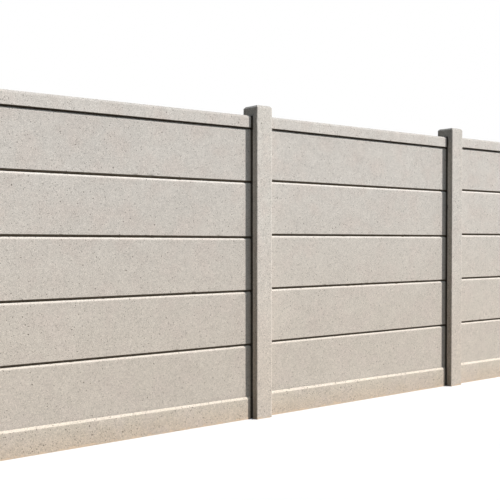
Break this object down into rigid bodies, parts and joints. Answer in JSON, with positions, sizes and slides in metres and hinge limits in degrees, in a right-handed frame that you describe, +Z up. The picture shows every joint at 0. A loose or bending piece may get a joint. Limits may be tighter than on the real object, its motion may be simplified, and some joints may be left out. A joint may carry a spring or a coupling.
{
  "type": "precast concrete compound wall",
  "caption": "Run of precast concrete boundary wall: slotted H-section posts holding a plinth beam, stacked V-jointed panels and a coping in each bay.",
  "frame": {"origin": "middle of the foot of the centre post, at ground level", "axes": "+X along the wall, -Y towards its front (the side in the picture), +Z up"},
  "size_m": [10.165, 0.19, 2.61],
  "materials": {
    "post_concrete": "matt, fine-grained cast",
    "panel_concrete": "matt, fine-grained cast",
    "plinth_concrete": "matt, sand-stained cast",
    "coping_concrete": "matt, fine-grained cast"
  },
  "bodies": {
    "root": {"post_1": "post_concrete", "post_2": "post_concrete", "post_3": "post_concrete", "post_4": "post_concrete", "post_5": "post_concrete", "bay_1_plinth": "plinth_concrete", "bay_1_panel_1": "panel_concrete", "bay_1_panel_2": "panel_concrete", "bay_1_panel_3": "panel_concrete", "bay_1_panel_4": "panel_concrete", "bay_1_panel_5": "panel_concrete", "bay_1_coping": "coping_concrete", "bay_2_plinth": "plinth_concrete", "bay_2_panel_1": "panel_concrete", "bay_2_panel_2": "panel_concrete", "bay_2_panel_3": "panel_concrete", "bay_2_panel_4": "panel_concrete", "bay_2_panel_5": "panel_concrete", "bay_2_coping": "coping_concrete", "bay_3_plinth": "plinth_concrete", "bay_3_panel_1": "panel_concrete", "bay_3_panel_2": "panel_concrete", "bay_3_panel_3": "panel_concrete", "bay_3_panel_4": "panel_concrete", "bay_3_panel_5": "panel_concrete", "bay_3_coping": "coping_concrete", "bay_4_plinth": "plinth_concrete", "bay_4_panel_1": "panel_concrete", "bay_4_panel_2": "panel_concrete", "bay_4_panel_3": "panel_concrete", "bay_4_panel_4": "panel_concrete", "bay_4_panel_5": "panel_concrete", "bay_4_coping": "coping_concrete"}
  },
  "joints": []
}
